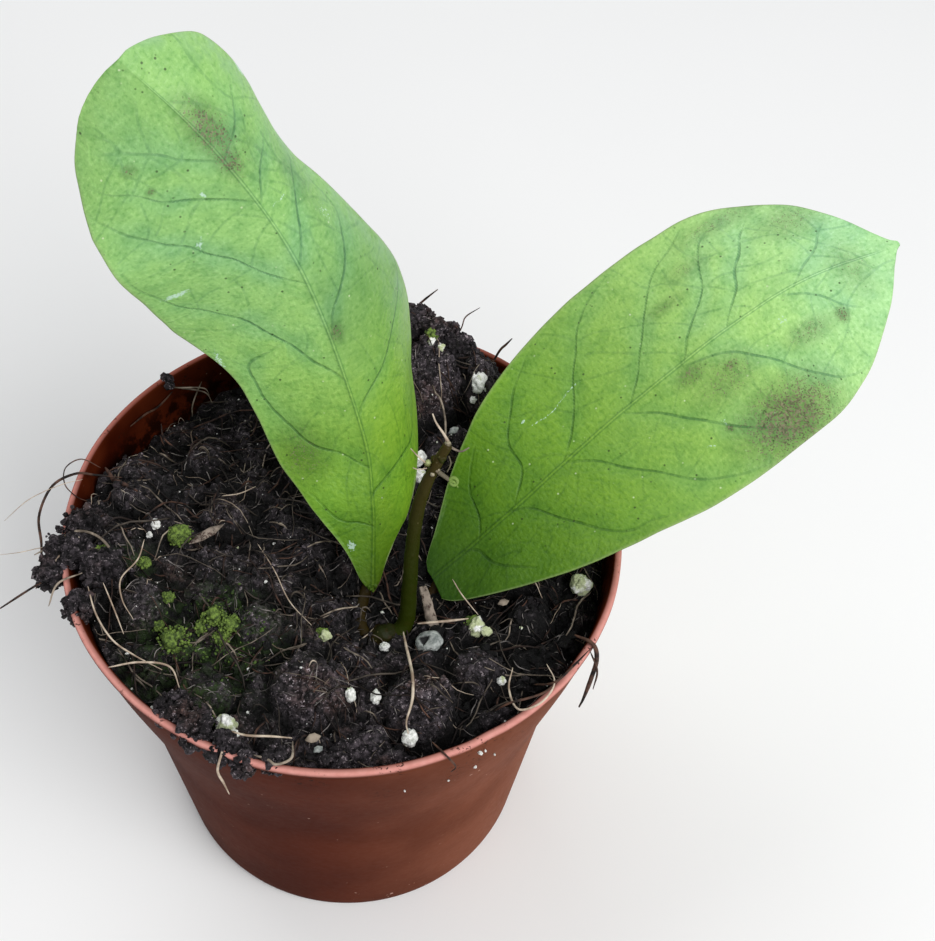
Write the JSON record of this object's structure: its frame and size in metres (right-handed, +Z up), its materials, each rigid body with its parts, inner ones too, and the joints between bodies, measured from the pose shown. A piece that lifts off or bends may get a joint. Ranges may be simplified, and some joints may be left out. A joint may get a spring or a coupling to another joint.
{
  "type": "potted hoya",
  "caption": "Young hoya cutting with two broad leaves, standing in peat mix in a round terracotta-coloured plastic nursery pot.",
  "frame": {"origin": "middle of the pot's underside, on the surface it stands on", "axes": "+Z up, +X towards the side that the pointed leaf leans to, -Y towards the front that the picture looks from"},
  "size_m": [0.1776, 0.1258, 0.2098],
  "materials": {
    "terracotta_plastic": "satin moulded plastic, paler on the lip",
    "peat": null,
    "leaf_green": "soft sheen with darker sunken veins",
    "stem_green": "dull dark olive bark",
    "bark_tan": "dry matte bark",
    "clay_grey": "matte fired clay"
  },
  "bodies": {
    "root": {"pot": "terracotta_plastic", "soil": "peat", "stem": "stem_green", "leaf_left": "leaf_green", "leaf_right": "leaf_green", "bark_chip": "bark_tan", "clay_pebble": "clay_grey"}
  },
  "joints": []
}
